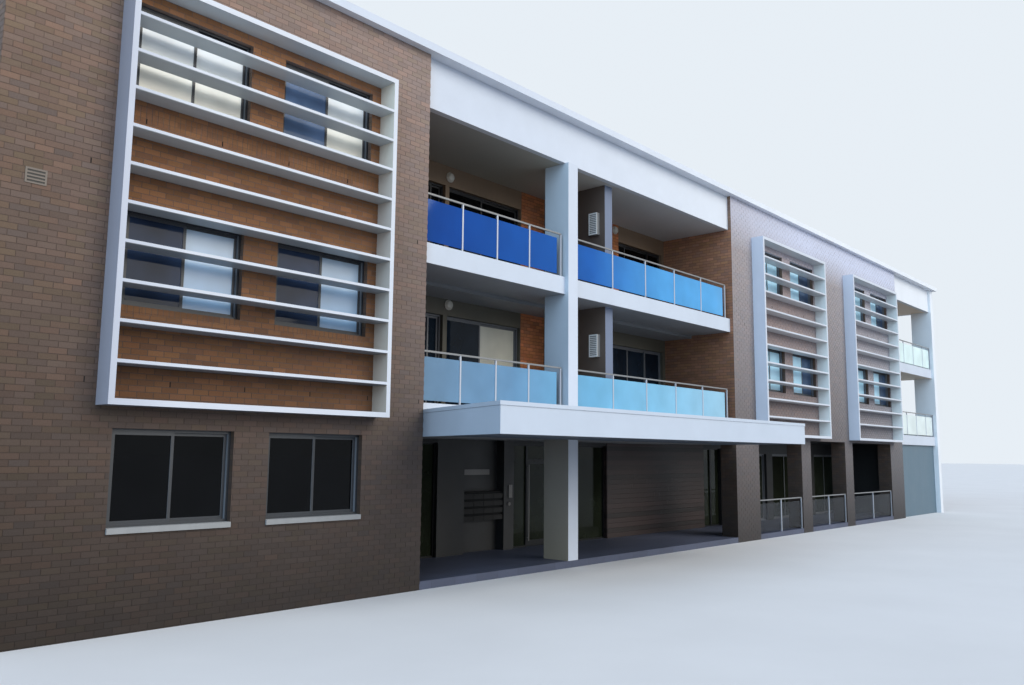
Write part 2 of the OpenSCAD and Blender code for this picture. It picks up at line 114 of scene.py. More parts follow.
def box_piece(name, rows, material, body=FIXED):
    """One piece made of many boxes, given as rows of [x0, x1, y0, y1, z0, z1]."""
    rows = np.asarray(rows, float).reshape(-1, 3, 2)
    verts = np.stack([rows[:, a, :][:, CORNERS[:, a]] for a in range(3)], 2).reshape(-1, 3)
    faces = (np.arange(len(rows))[:, None, None] * 8 + SIDES).reshape(-1, 4)
    return mesh_piece(name, verts, faces.tolist(), material, body)


def lathe(profile, centre, steps=32):
    """Verts and faces of a closed turned shape: profile is [radius, height] towards the street."""
    verts, faces = [], []
    for r, h in profile:
        for angle in np.arange(steps) * math.tau / steps:
            verts.append(np.add(centre, (r * math.cos(angle), -h, r * math.sin(angle))))
    for k in range(len(profile) - 1):
        for i in range(steps):
            j = (i + 1) % steps
            faces.append([k * steps + i, k * steps + j, (k + 1) * steps + j, (k + 1) * steps + i])
    faces.append(list(range(steps))[::-1])
    faces.append([(len(profile) - 1) * steps + i for i in range(steps)])
    return verts, faces


def join(parts):
    """One list of verts and faces out of several."""
    verts, faces = [], []
    for v, f in parts:
        faces += [[i + len(verts) for i in face] for face in f]
        verts += list(v)
    return verts, faces


# --- bricks --------------------------------------------------------------------------------

# A course and a brick with their joints, the joint, and the height of one course's foot
COURSE, LENGTH, JOINT = 0.086, 0.240, 0.010
COURSE_Z = 0.040
# Bricks stand PROUD of a wall's face, UNEVEN more or less, and are SEATED this deep in it
PROUD, UNEVEN, SEATED = 0.0035, 0.0012, 0.003


def cut_hole(rects, hole):
    """Rects [u0, u1, v0, v1] less a hole, with each one that it crosses cut into what is left."""
    h0, h1, g0, g1 = hole
    hit = (rects[:, 0] < h1) & (rects[:, 1] > h0) & (rects[:, 2] < g1) & (rects[:, 3] > g0)
    whole_ones, cut = rects[~hit], rects[hit]
    left, right, below, above = (cut.copy() for _ in range(4))
    left[:, 1] = np.minimum(cut[:, 1], h0)
    right[:, 0] = np.maximum(cut[:, 0], h1)
    for part in (below, above):
        part[:, 0], part[:, 1] = np.maximum(cut[:, 0], h0), np.minimum(cut[:, 1], h1)
    below[:, 3] = np.minimum(cut[:, 3], g0)
    above[:, 2] = np.maximum(cut[:, 2], g1)
    return np.concatenate([whole_ones, left, right, below, above])


def bond(u, v, holes=()):
    """Stretcher bond over u by v as [left, right, bottom, top], cut at the edges and the holes."""
    rows = []
    for i in range(math.floor((v[0] - COURSE_Z) / COURSE), math.ceil((v[1] - COURSE_Z) / COURSE)):
        left = np.arange(math.floor(u[0] / LENGTH), math.ceil(u[1] / LENGTH) + 1) * LENGTH
        left = left - (i % 2) * LENGTH / 2
        z = COURSE_Z + i * COURSE
        rows.append(np.stack([left + JOINT / 2, left + LENGTH - JOINT / 2,
                              np.full(left.shape, z + JOINT / 2),
                              np.full(left.shape, z + COURSE - JOINT / 2)], 1))
    rects = np.concatenate(rows)
    rects[:, :2] = np.clip(rects[:, :2], *u)
    rects[:, 2:] = np.clip(rects[:, 2:], *v)
    for hole in holes:
        rects = cut_hole(rects, hole)
    # Slivers are left out
    big = (rects[:, 1] - rects[:, 0] > 0.015) & (rects[:, 3] - rects[:, 2] > 0.010)
    return rects[big]


def on_face(rects, along, at, facing):
    """Boxes seated in a wall face: along X or Y at that plane, facing -1 or 1 across it."""
    out = PROUD + rng.uniform(-UNEVEN, UNEVEN, len(rects))
    near = np.full(len(rects), at - facing * SEATED)
    far = at + facing * out
    across = np.sort(np.stack([near, far], 1), 1)
    if along == "x":
        return np.concatenate([rects[:, :2], across, rects[:, 2:]], 1)
    return np.concatenate([across, rects[:, :2], rects[:, 2:]], 1)


def windows_in(rows, along, at, reach=0.3):
    """Openings [u0, u1, v0, v1] of the frames whose box lies within reach of a wall plane."""
    across, u = (2, 0) if along == "x" else (0, 2)
    near = (np.abs(rows[:, across] - at) < reach) & (np.abs(rows[:, across + 1] - at) < reach)
    return rows[near][:, [u, u + 1, 4, 5]]


# --- node graphs ---------------------------------------------------------------------------

class Graph:
    """The node tree of a new material or of a given world, with a short call for each node."""

    def __init__(self, name, world=None):
        self.owner = world or bpy.data.materials.new(name)
        self.owner.use_nodes = True
        self.tree = self.owner.node_tree
        self.tree.nodes.clear()
        self.out = self.add("ShaderNodeOutputWorld" if world else "ShaderNodeOutputMaterial")

    def add(self, kind, props=None, inputs=None):
        """A new node with its properties and its inputs set."""
        node = self.tree.nodes.new(kind)
        for key, value in (props or {}).items():
            setattr(node, key, value)
        for key, value in (inputs or {}).items():
            self.put(node.inputs[key], value)
        return node

    def put(self, socket, value):
        """Link another node's output to an input, or set the input to a plain value."""
        if isinstance(value, bpy.types.NodeSocket):
            self.tree.links.new(value, socket)
        elif isinstance(value, tuple) and len(value) == 3 and socket.type == "RGBA":
            socket.default_value = (*value, 1.0)
        else:
            socket.default_value = value

    def math(self, operation, a, b=0.0):
        return self.add("ShaderNodeMath", {"operation": operation}, {0: a, 1: b}).outputs[0]

    def place(self):
        """The point on the piece, in metres of the frame."""
        return self.add("ShaderNodeTexCoord").outputs["Object"]

    def source(self):
        """The same point's X, Y and Z as the part's source has them."""
        moved = self.add("ShaderNodeVectorMath", {"operation": "SUBTRACT"},
                         {0: self.place(), 1: tuple(ORIGIN)})
        return self.split(moved.outputs[0])

    def normal(self):
        return self.add("ShaderNodeTexCoord").outputs["Normal"]

    def curve(self, value, points):
        """A value that goes straight from one [at, amount] point to the next."""
        total = points[0][1]
        for (start, low), (end, high) in zip(points, points[1:]):
            total = self.math("ADD", total, self.ramp(value, start, end, 0.0, high - low))
        return total

    def grey(self, value):
        return self.add("ShaderNodeCombineXYZ", None, {0: value, 1: value, 2: value}).outputs[0]

    def split(self, vector):
        node = self.add("ShaderNodeSeparateXYZ", None, {0: vector})
        return node.outputs[0], node.outputs[1], node.outputs[2]

    def stretch(self, vector, scale):
        return self.add("ShaderNodeVectorMath", {"operation": "MULTIPLY"},
                        {0: vector, 1: scale}).outputs[0]

    def noise(self, vector, scale, detail, rough=0.5):
        return self.add("ShaderNodeTexNoise", None,
                        {"Vector": vector, "Scale": scale, "Detail": detail,
                         "Roughness": rough}).outputs[0]

    def ramp(self, value, low, high, to_low=0.0, to_high=1.0):
        return self.add("ShaderNodeMapRange", None, {0: value, 1: low, 2: high, 3: to_low,
                                                     4: to_high}).outputs[0]

    def mix(self, amount, a, b, blend="MIX"):
        """Colour a with an amount of colour b in it, or blended with it."""
        node = self.add("ShaderNodeMix", {"data_type": "RGBA", "blend_type": blend})
        self.put(node.inputs[0], amount)
        self.put(node.inputs[6], a)
        self.put(node.inputs[7], b)
        return node.outputs[2]

    def colours(self, value, stops):
        """A colour ramp over 0 to 1, with stops of [at, colour]."""
        node = self.add("ShaderNodeValToRGB", None, {0: value})
        marks = node.color_ramp.elements
        while len(marks) < len(stops):
            marks.new(0.5)
        for mark, (at, colour) in zip(marks, stops):
            mark.position, mark.color = at, (*colour, 1.0)
        return node.outputs[0]

    def bump(self, height, strength, distance):
        return self.add("ShaderNodeBump", None, {"Height": height, "Strength": strength,
                                                 "Distance": distance}).outputs[0]

    def finish(self, colour, roughness, **more):
        """The material, once its shader is in, with more of the shader's inputs by name."""
        inputs = {"Base Color": colour, "Roughness": roughness}
        inputs.update({key.replace("_", " "): value for key, value in more.items()})
        return self.end(self.add("ShaderNodeBsdfPrincipled", None, inputs))

    def end(self, shader):
        """Link a shader to the output, and give back the material or the world."""
        self.tree.links.new(shader.outputs[0], self.out.inputs[0])
        return self.owner


def srgb(r, g, b):
    """A colour read as 0 to 255 on screen, as the linear values that nodes take."""
    return tuple(c / 255 / 12.92 if c < 11 else ((c / 255 + 0.055) / 1.055) ** 2.4
                 for c in (r, g, b))


def shade(colour, factor):
    """The same colour, darker or lighter."""
    return tuple(c * factor for c in colour)


def build(g, colour):
    """A plain colour as it is, or one made of nodes by a function of the graph."""
    return colour(g) if callable(colour) else colour


def beyond(axis, place, before, after):
    """One colour before a place along the source's X, Y or Z and another beyond it."""
    return lambda g: g.mix(g.math("GREATER_THAN", g.source()[axis], place),
                           build(g, before), build(g, after))


def banded(axis, first, *rest):
    """A first colour along the source's X, Y or Z, and another one beyond each [place, colour]."""
    colour = first
    for place, after in rest:
        colour = beyond(axis, place, colour, after)
    return colour


def rising(axis, stops):
    """A colour that changes along the source's X, Y or Z, as stops of [place, colour]."""
    low, high = stops[0][0], stops[-1][0]
    return lambda g: g.colours(g.ramp(g.source()[axis], low, high),
                               [((at - low) / (high - low), colour) for at, colour in stops])


def paint(name, colour, rough=0.55, mottle=0.07, grain=0.35, metallic=0.0, level=0.5):
    """Paint or render: cloudy large marks, fine grain and rain streaks, with a little bump."""
    g = Graph(name)
    p = g.place()
    clouds = g.noise(p, 1.3, 5.0, 0.6)
    fine = g.noise(p, 90.0, 2.0)
    streaks = g.noise(g.stretch(p, (9.0, 9.0, 0.5)), 1.0, 3.0)
    tone = g.math("ADD", g.ramp(clouds, 0.3, 0.7, -0.5, 0.5),
                  g.ramp(streaks, 0.35, 0.65, -0.35, 0.35))
    tone = g.math("ADD", tone, g.ramp(fine, 0.3, 0.7, -0.25, 0.25))
    marks = g.grey(g.ramp(tone, -1.0, 1.0, 1 - mottle, 1 + mottle))
    base = g.mix(1.0, build(g, colour), marks, "MULTIPLY")
    return g.finish(base, g.ramp(clouds, 0.3, 0.7, rough - 0.06, rough + 0.06),
                    Normal=g.bump(fine, grain, 0.002), Metallic=metallic, Specular_IOR_Level=level)


def facing_shade_paint(name, sides, under, top, left=None, rough=0.6):
    """Painted light and shade: paint whose colour depends on the way that a face looks, sideways,
    down, up or left.
    """
    g = Graph(name)
    p = g.place()
    x, _, z = g.split(g.normal())
    base = g.mix(g.math("LESS_THAN", z, -0.5), build(g, sides), build(g, under))
    base = g.mix(g.math("GREATER_THAN", z, 0.5), base, build(g, top))
    if left:
        base = g.mix(g.math("LESS_THAN", x, -0.5), base, build(g, left))
    clouds = g.noise(p, 1.1, 5.0, 0.6)
    fine = g.noise(p, 80.0, 2.0)
    tone = g.math("ADD", clouds, g.ramp(fine, 0.0, 1.0, -0.12, 0.12))
    amount = g.ramp(tone, 0.25, 0.75, 0.92, 1.0)
    base = g.mix(1.0, base, g.grey(amount), "MULTIPLY")
    return g.finish(base, rough, Normal=g.bump(fine, 0.3, 0.002))


def bricks(name, palette, joint, painted_sheen=None, graded=True):
    """Brick and joint colours on the same bond as the brick pieces, whichever way a face looks.

    A graded wall is darker towards its foot: painted shade, lighter up the wall. The painted sheen
    is a list of [X, amount] points along the street front, by which its bricks are paled as a
    painted sky reflection, and most under the roof as painted glare.
    """
    g = Graph(name)
    p = g.place()
    x, y, z = g.source()
    sideways = g.math("GREATER_THAN", g.math("ABSOLUTE", g.split(g.normal())[0]), 0.5)
    u = g.add("ShaderNodeMix", None, {0: sideways, 2: x, 3: y}).outputs[0]
    row = g.math("DIVIDE", g.math("SUBTRACT", z, COURSE_Z), COURSE)
    course = g.math("FLOOR", row)
    odd = g.math("FLOORED_MODULO", course, 2.0)
    along = g.math("ADD", g.math("DIVIDE", u, LENGTH), g.math("MULTIPLY", odd, 0.5))
    column = g.math("FLOOR", along)
    cell = g.add("ShaderNodeCombineXYZ", None, {0: column, 1: course, 2: sideways}).outputs[0]
    dice = g.add("ShaderNodeTexWhiteNoise", {"noise_dimensions": "3D"}, {"Vector": cell})
    fine = g.noise(p, 55.0, 4.0, 0.65)
    patch = g.noise(p, 0.55, 3.0, 0.55)
    base = g.colours(dice.outputs["Value"], palette)
    second = g.split(dice.outputs["Color"])[1]
    level = g.math("ADD", g.ramp(second, 0.0, 1.0, 0.86, 1.12),
                   g.ramp(fine, 0.3, 0.7, -0.10, 0.10))
    level = g.math("ADD", level, g.ramp(patch, 0.3, 0.7, -0.07, 0.07))
    base = g.mix(1.0, base, g.grey(level), "MULTIPLY")
    in_joint = g.math("MAXIMUM", edge_mask(g, along, column, LENGTH),
                      edge_mask(g, row, course, COURSE))
    mortar = g.mix(g.ramp(fine, 0.3, 0.7), shade(joint, 0.85), shade(joint, 1.15))
    base = g.mix(in_joint, base, mortar)
    # Painted shade: the wall is darker towards its foot and lighter up high, as light falls on it
    if graded:
        grade = g.mix(g.ramp(y, 2.6, 6.0), graded_by(g, z, FRONT_SHADE_GRADE),
                      graded_by(g, z, BACK_SHADE_GRADE))
        base = g.mix(1.0, base, grade, "MULTIPLY")
    # Painted sky reflection along the front, and painted glare just under the roof
    if painted_sheen:
        in_front = g.math("MULTIPLY", g.math("LESS_THAN", y, 0.1),
                          g.math("SUBTRACT", 1.0, sideways))
        pale = g.mix(1.0, build(g, SKY_SHEEN), graded_by(g, z, FRONT_SHADE_GRADE), "MULTIPLY")
        base = g.mix(g.math("MULTIPLY", in_front, g.curve(x, painted_sheen)), base, pale)
        top = g.math("MULTIPLY", g.ramp(z, 8.5, 9.6), g.ramp(x, 5.5, 17.5, 0.0, 0.88))
        base = g.mix(g.math("MULTIPLY", in_front, top), base, ROOF_GLARE)
    return g.finish(base, 0.9, Normal=g.bump(fine, 0.5, 0.003))


def graded_by(g, z, grade):
    """A grey that goes from the grade's first amount at the foot to its second 10 m up."""
    return g.grey(g.ramp(z, 0.0, 10.0, *grade))


def edge_mask(g, value, floor, size, joint=JOINT):
    """1 within half a joint of a cell's edges and 0 inside it."""
    away = g.math("ABSOLUTE", g.math("SUBTRACT", g.math("SUBTRACT", value, floor), 0.5))
    return g.math("GREATER_THAN", away, 0.5 - joint / 2 / size)


def boards(name, dark, light):
    """Stained boards along X: grain stretched along each one and a tone of its own."""
    g = Graph(name)
    p = g.place()
    z = g.split(p)[2]
    height = g.math("SUBTRACT", z, float(ORIGIN[2]))
    board = g.math("FLOOR", g.math("DIVIDE", height, BOARD_H))
    dice = g.add("ShaderNodeTexWhiteNoise", {"noise_dimensions": "1D"},
                 {"W": board}).outputs["Value"]
    grain = g.noise(g.stretch(p, (1.2, 14.0, 60.0)), 1.0, 6.0, 0.65)
    tone = g.math("ADD", g.math("MULTIPLY", grain, 0.7), g.math("MULTIPLY", dice, 0.5))
    base = g.mix(g.ramp(tone, 0.3, 0.95), dark, light)
    return g.finish(base, 0.5, Normal=g.bump(grain, 0.35, 0.003))


def glass(name, colour, alpha, tint=(1.0, 1.0, 1.0), rough=0.04, level=0.5, uneven=0.08,
          ior=1.5):
    """Sheet glass: a body colour, a little waviness and its gloss."""
    g = Graph(name)
    wave = g.noise(g.place(), 1.4, 2.0)
    waves = g.grey(g.ramp(wave, 0.3, 0.7, 1 - uneven, 1 + uneven))
    base = g.mix(1.0, build(g, colour), waves, "MULTIPLY")
    return g.finish(base, rough, Normal=g.bump(wave, 0.06, 0.01), Alpha=alpha,
                    Specular_Tint=(*tint, 1.0), Specular_IOR_Level=level, IOR=ior)


def blind(name, colour):
    """Drawn blind cloth with fine upright slats and soft level bands."""
    g = Graph(name)
    x, y, _ = g.split(g.place())
    slat = g.math("SINE", g.math("MULTIPLY", g.math("ADD", x, y), math.tau / 0.09))
    band = g.noise(g.stretch(g.place(), (0.3, 0.3, 2.2)), 1.0, 2.0)
    tone = g.math("ADD", g.ramp(slat, -1.0, 1.0, -0.04, 0.04),
                  g.ramp(band, 0.3, 0.7, -0.08, 0.08))
    base = g.mix(g.ramp(tone, -0.12, 0.12), shade(colour, 0.86), colour)
    return g.finish(base, 0.8, Normal=g.bump(slat, 0.3, 0.004))


def tiles(name, colour, joint):
    """Square floor tiles, each with a tone of its own."""
    g = Graph(name)
    p = g.place()
    x, y, _ = g.split(p)
    masks, cells = [], []
    for value in (x, y):
        scaled = g.math("DIVIDE", value, TILE)
        floor = g.math("FLOOR", scaled)
        cells.append(floor)
        masks.append(edge_mask(g, scaled, floor, TILE, TILE_JOINT))
    cell = g.add("ShaderNodeCombineXYZ", None, {0: cells[0], 1: cells[1], 2: 0.0}).outputs[0]
    dice = g.add("ShaderNodeTexWhiteNoise", {"noise_dimensions": "3D"},
                 {"Vector": cell}).outputs["Value"]
    fine = g.noise(p, 30.0, 4.0)
    tone = g.math("ADD", g.math("MULTIPLY", dice, 0.5), g.math("MULTIPLY", fine, 0.5))
    base = g.mix(tone, shade(colour, 0.82), shade(colour, 1.15))
    base = g.mix(g.math("MAXIMUM", masks[0], masks[1]), base, joint)
    return g.finish(base, 0.55, Normal=g.bump(fine, 0.2, 0.002))


# --- finishes ------------------------------------------------------------------------------

X, Y, Z = 0, 1, 2
BOARD_H = 0.135
TILE, TILE_JOINT = 0.6, 0.006
# The corner balconies lie beyond CORNER, the right wing beyond WING, the recess behind RECESS
CORNER, WING, RECESS = 26.7, 12.0, 1.0
# The first and the second floor lie above these heights
FIRST, SECOND = 3.0, 6.0
# Painted shade and light: how bright a brick wall is painted at its foot and 10 m up, on the street
# side and at the back
FRONT_SHADE_GRADE, BACK_SHADE_GRADE = (0.17, 1.57), (0.55, 1.25)
WALL_BRICKS = [(0.0, srgb(102, 84, 73)), (0.22, srgb(109, 91, 81)), (0.42, srgb(105, 88, 71)),
               (0.62, srgb(113, 89, 75)), (0.82, srgb(99, 85, 78)), (1.0, srgb(118, 93, 78))]
# Painted warm light: a warmer, brighter copy of the wall's bricks for those in the sunshades' shade
SHADED_BRICKS = [(0.0, srgb(125, 85, 56)), (0.3, srgb(136, 95, 64)), (0.6, srgb(130, 91, 59)),
                 (0.8, srgb(119, 84, 62)), (1.0, srgb(142, 98, 66))]
# Painted warm light: a warmer, brighter copy of the wall's bricks for the recess's side walls
RECESS_BRICKS = [(0.0, srgb(142, 98, 73)), (0.3, srgb(154, 108, 82)), (0.6, srgb(149, 106, 74)),
                 (0.8, srgb(135, 98, 80)), (1.0, srgb(162, 113, 86))]
# The door panels' bricks: orange brick of their own, painted brighter for warm light in the recess
WARM_BRICKS = [(0.0, srgb(178, 107, 67)), (0.3, srgb(203, 126, 82)), (0.6, srgb(189, 119, 71)),
               (0.8, srgb(167, 109, 78)), (1.0, srgb(217, 131, 84))]
# Painted sky reflection and glare: the colours that the front's bricks pale to, in the open and
# under the roof
ROOF_GLARE = srgb(212, 218, 238)
SKY_SHEEN = rising(X, [(-2.0, srgb(186, 172, 170)), (12.3, srgb(185, 184, 192)),
                      (27.0, srgb(184, 190, 202))])
# The wall's bricks pale along the front by painted sky reflection, more to the right
brick = bricks("buff_brick", WALL_BRICKS, srgb(92, 76, 66),
               [(-8.0, 0.0), (0.0, 0.17), (12.3, 0.37), (18.0, 0.41), (19.5, 0.35), (27.0, 0.45)])
# Behind the right sunshades these bricks also pale by painted sky reflection
shaded_brick = bricks("shaded_brick", SHADED_BRICKS, srgb(112, 82, 60),
                      [(-0.5, 0.0), (13.5, 0.38), (18.5, 0.45), (20.5, 0.62), (26.0, 0.7)])
recess_brick = bricks("recess_brick", RECESS_BRICKS, srgb(104, 73, 55))
warm_brick = bricks("orange_brick", WARM_BRICKS, srgb(120, 80, 56), graded=False)
# Painted sheen: white faces are painted lighter towards the right, where light glances off them
WHITE_FRONT = rising(X, [(2.5, srgb(213, 221, 234)), (17.0, srgb(237, 242, 249))])
# Painted shade and light: white undersides darker, most to the left, the corner fin's left face
# lighter
white = facing_shade_paint("white_render", WHITE_FRONT,
              rising(X, [(-14.0, srgb(120, 116, 112)), (1.5, srgb(220, 222, 224))]),
              srgb(200, 206, 216), beyond(X, CORNER, srgb(213, 221, 234), srgb(242, 246, 248)))
# Painted shade: the capping's underside is darker, most to the left
capping_paint = facing_shade_paint("capping_paint", WHITE_FRONT,
                      rising(X, [(-14.0, srgb(196, 203, 214)), (1.5, srgb(233, 237, 244))]),
                      srgb(200, 206, 216))
# Painted shade: the pillar's left face is darker and warmer towards its foot, its underside dark
PILLAR_LEFT = rising(Z, [(0.0, srgb(150, 137, 118)), (2.6, srgb(162, 158, 150)),
                         (3.2, srgb(178, 191, 203)), (9.0, srgb(209, 222, 231))])
pillar_paint = facing_shade_paint("pillar_paint", srgb(213, 221, 234), srgb(110, 112, 116),
                     srgb(200, 206, 216), PILLAR_LEFT)
# Painted shade and light: slab edges deep in the recess darker, undersides grey, the corner's warm
# and light
white_slab = facing_shade_paint("white_slab_edge", beyond(Y, RECESS, srgb(208, 217, 230), srgb(120, 123, 126)),
                   beyond(X, CORNER, srgb(155, 156, 158), srgb(226, 214, 196)), srgb(120, 122, 126))
# Painted shade and light: the canopy's underside dark, its top and left face darker than its front
canopy_paint = facing_shade_paint("canopy_paint", srgb(202, 213, 228), srgb(80, 90, 104), srgb(170, 176, 186),
                     srgb(175, 187, 200))
# Painted shade and light on the sunshades: the left one's undersides, darker lower down, and those
# faces of the side plates that look left, lighter inside the sunshades than outside
BLADE_UNDER = rising(Z, [(3.0, srgb(104, 108, 116)), (5.0, srgb(140, 144, 148)),
                         (6.5, srgb(172, 176, 176)), (9.1, srgb(202, 209, 212))])
PLATE_OUTSIDE, PLATE_INSIDE = srgb(214, 220, 231), srgb(240, 244, 240)
FIRST_INSIDE = rising(Z, [(4.0, srgb(196, 186, 172)), (6.5, srgb(208, 202, 192)),
                          (9.0, srgb(246, 240, 222))])
PLATES_LEFT = banded(X, srgb(160, 160, 170), (-3.0, FIRST_INSIDE), (6.0, PLATE_OUTSIDE),
                     (16.0, PLATE_INSIDE), (19.5, PLATE_OUTSIDE), (23.0, PLATE_INSIDE))
# Painted shade: the left sunshade's front is darker at its left end; the right ones' undersides one
# grey
shade_paint = facing_shade_paint("satin_white",
                    rising(X, [(-6.0, srgb(188, 195, 211)), (-5.0, srgb(214, 220, 231))]),
                    beyond(X, 0.0, BLADE_UNDER, srgb(202, 203, 205)),
                    srgb(206, 212, 222), PLATES_LEFT, 0.4)
# Painted warm light: the recess back walls are warmer and brighter on the second floor
grey_wall = paint("grey_render", beyond(Z, SECOND, srgb(88, 84, 72), srgb(130, 108, 86)))
dark_wall = paint("charcoal_render", srgb(31, 31, 32))
# Painted shade: the dividers' tops and undersides dark, their left faces a darker brown
divider_grey = facing_shade_paint("divider_grey", srgb(114, 126, 150), srgb(60, 60, 62), srgb(60, 60, 62),
                     srgb(101, 89, 81))
cream = paint("cream_render", srgb(214, 208, 196))
pale_wall = paint("blue_grey_render", srgb(87, 110, 125))
room_dark = paint("unlit_room", srgb(58, 58, 60), 0.8, 0.1)
# Painted shade and light: the recess soffit lighter towards the right, the corner's warm and light
RECESS_SOFFIT = rising(X, [(0.0, srgb(156, 153, 147)), (4.4, srgb(186, 180, 164)),
                           (9.0, srgb(216, 214, 212))])
roof_sheet = facing_shade_paint("roof_sheet", srgb(150, 152, 156),
                   beyond(X, CORNER, RECESS_SOFFIT, srgb(236, 214, 188)), srgb(150, 152, 156))
floor_tiles = tiles("porch_tiles", srgb(74, 81, 102), srgb(50, 55, 68))
# Painted light: the frames' faces that look left are lighter
frame_metal = facing_shade_paint("charcoal_frame", srgb(44, 48, 54), srgb(38, 41, 45), srgb(60, 63, 68),
                    srgb(124, 128, 134), 0.4)
entry_metal = paint("entry_frame_metal", srgb(22, 23, 25), 0.4, 0.06, 0.1, level=0.3)
door_metal = paint("sliding_door_frame",
                   beyond(Z, SECOND, srgb(104, 106, 110), srgb(38, 39, 41)), 0.4, 0.06, 0.1)
# Handrails are darker than their posts, at the height of each level's rail
POST_GREY, RAIL_GREY = srgb(190, 195, 204), srgb(132, 133, 134)
RAILS = banded(Z, POST_GREY, (0.974, RAIL_GREY), (1.02, POST_GREY), (4.236, RAIL_GREY),
               (4.28, POST_GREY), (7.332, RAIL_GREY))
rail_metal = paint("silver_rail", RAILS, 0.4, 0.05, 0.1, 0.2)
dull_metal = paint("dull_metal", srgb(112, 108, 104), 0.4, 0.05, 0.1)
box_metal = paint("box_metal", beyond(Y, 2.505, srgb(54, 53, 52), srgb(15, 15, 16)),
                  0.5, 0.08, 0.15, level=0.1)
timber = boards("stained_timber", srgb(30, 24, 23), srgb(62, 48, 46))
blind_cloth = blind("blind_cloth", srgb(232, 243, 252))
sill_stone = paint("pale_sill", srgb(150, 152, 154), 0.7, 0.1)
lamp_glass = paint("opal_lamp", srgb(214, 210, 196), 0.25, 0.03, 0.05)
# The left wing's vent is brown over a dark box, and the dividers' units are white and grey
LEFT_VENT = beyond(Y, -0.008, srgb(109, 99, 90), srgb(20, 17, 15))
UNITS = beyond(X, 6.203, srgb(246, 247, 244), srgb(140, 141, 142))
vent_plastic = paint("vent_plastic", beyond(X, 0.0, LEFT_VENT, UNITS), 0.5, 0.06)
# Painted shade: near black for the hollows of the open joints
slot_black = paint("slot_black", srgb(20, 16, 14), 0.9, 0.1)
NIGHT = srgb(9, 10, 12)
# Painted reflections: door panes tinted by floor, greenish low down, blue on the first floor
DOOR_DARK = banded(Z, srgb(38, 43, 32), (FIRST, srgb(28, 38, 50)), (SECOND, NIGHT))
dark_glass = glass("dark_glass", beyond(Y, RECESS, NIGHT, DOOR_DARK), 0.96, level=0.1, uneven=0.3)
# The panes have the tint of the sky that they mirror in the photo
LEFT_SKY = rising(Z, [(5.7, srgb(40, 54, 78)), (7.4, srgb(92, 114, 146))])
sky_glass = glass("sky_glass", beyond(X, WING, LEFT_SKY, srgb(72, 92, 120)), 0.95, level=0.12,
                  uneven=0.35)
WINDOW_SKY = rising(Z, [(4.3, srgb(122, 168, 210)), (5.7, srgb(176, 200, 222)),
                        (7.4, srgb(238, 230, 208)), (8.0, srgb(236, 240, 234)),
                        (8.8, srgb(224, 238, 254))])
FRONT_SKY = beyond(X, WING, WINDOW_SKY, srgb(188, 234, 254))
clear_glass = glass("clear_glass", beyond(Y, RECESS, FRONT_SKY, srgb(226, 224, 208)), 0.9,
                    rough=0.3, level=0.45, uneven=0.12, ior=1.85)
# The balustrade glass is blue of its own and painted lighter towards the right: painted sky
# reflection
deep_blue = glass("deep_blue_glass",
                  rising(X, [(0.5, srgb(6, 66, 149)), (5.5, srgb(10, 93, 179)),
                             (8.5, srgb(78, 163, 226)), (11.3, srgb(85, 171, 230)),
                             (27.0, srgb(232, 254, 252))]),
                  0.94, (0.5, 0.7, 1.0), level=0.3)
pale_blue = glass("pale_blue_glass",
                  rising(X, [(0.5, srgb(116, 149, 178)), (2.6, srgb(110, 155, 192)),
                             (5.5, srgb(120, 190, 228)), (8.5, srgb(138, 202, 234)),
                             (27.0, srgb(240, 252, 250))]),
                  0.85, (0.7, 0.85, 1.0), level=0.4)
porch_pane = glass("porch_rail_glass", srgb(60, 62, 66), 0.25, level=0.3)

FINISH = {
    brick: ["front_wall_left", "front_wall_right", "left_end_wall", "right_end_wall", "back_wall",
            "porch_piers"],
    recess_brick: ["balcony_side_walls"],
    white: ["white_fascias", "end_fascia", "corner_fin"],
    capping_paint: ["capping_front_back", "capping_ends"],
    pillar_paint: ["pillar"],
    white_slab: ["balcony_slabs"],
    canopy_paint: ["canopy"],
    shade_paint: ["sunshade_sides", "sunshade_ends", "louvre_blades"],
    vent_plastic: ["wall_vents"],
    grey_wall: ["recess_back_walls"],
    dark_wall: ["porch_wall", "porch_ceiling"],
    divider_grey: ["divider_walls"],
    cream: ["corner_back_walls"],
    pale_wall: ["corner_ground_walls"],
    room_dark: ["floor_slabs"],
    floor_tiles: ["ground_slab"],
    roof_sheet: ["roof_slab"],
    timber: ["timber_wall"],
    frame_metal: ["window_frames"],
    entry_metal: ["entry_frame", "entry_head", "entry_door"],
    door_metal: ["sliding_doors"],
    rail_metal: ["balustrade_rails"],
    dull_metal: ["entry_door_pull", "entry_fittings"],
    box_metal: ["letterboxes"],
    blind_cloth: ["window_blinds"],
    sill_stone: ["window_sills"],
    dark_glass: ["entry_door_glass"],
}
for material, nodes in FINISH.items():
    for node in nodes:
        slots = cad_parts[node].data.materials
        slots.clear()
        slots.append(material)

# --- brick pieces --------------------------------------------------------------------------

frames = solids("window_frames")
sills = solids("window_sills")
left_wall, right_wall = whole("front_wall_left"), whole("front_wall_right")
left_end, right_end, back = whole("left_end_wall"), whole("right_end_wall"), whole("back_wall")
sides = solids("balcony_side_walls")
piers = solids("porch_piers")
plates = solids("sunshade_sides")
plates = plates[np.argsort(plates[:, 0])]
shades = list(zip(plates[::2], plates[1::2]))
# Heights of the bricks on end under a window and across a sunshade
SOLDIER, BAND = 0.112, 0.234
# Bricks round a corner start this far behind the face beside them
SEAT = 0.002

front_holes = windows_in(frames, "x", 0.0)
upper_holes = front_holes[front_holes[:, 2] > FIRST]
soldiers = upper_holes.copy()
soldiers[:, 2], soldiers[:, 3] = upper_holes[:, 2] - SOLDIER, upper_holes[:, 2]
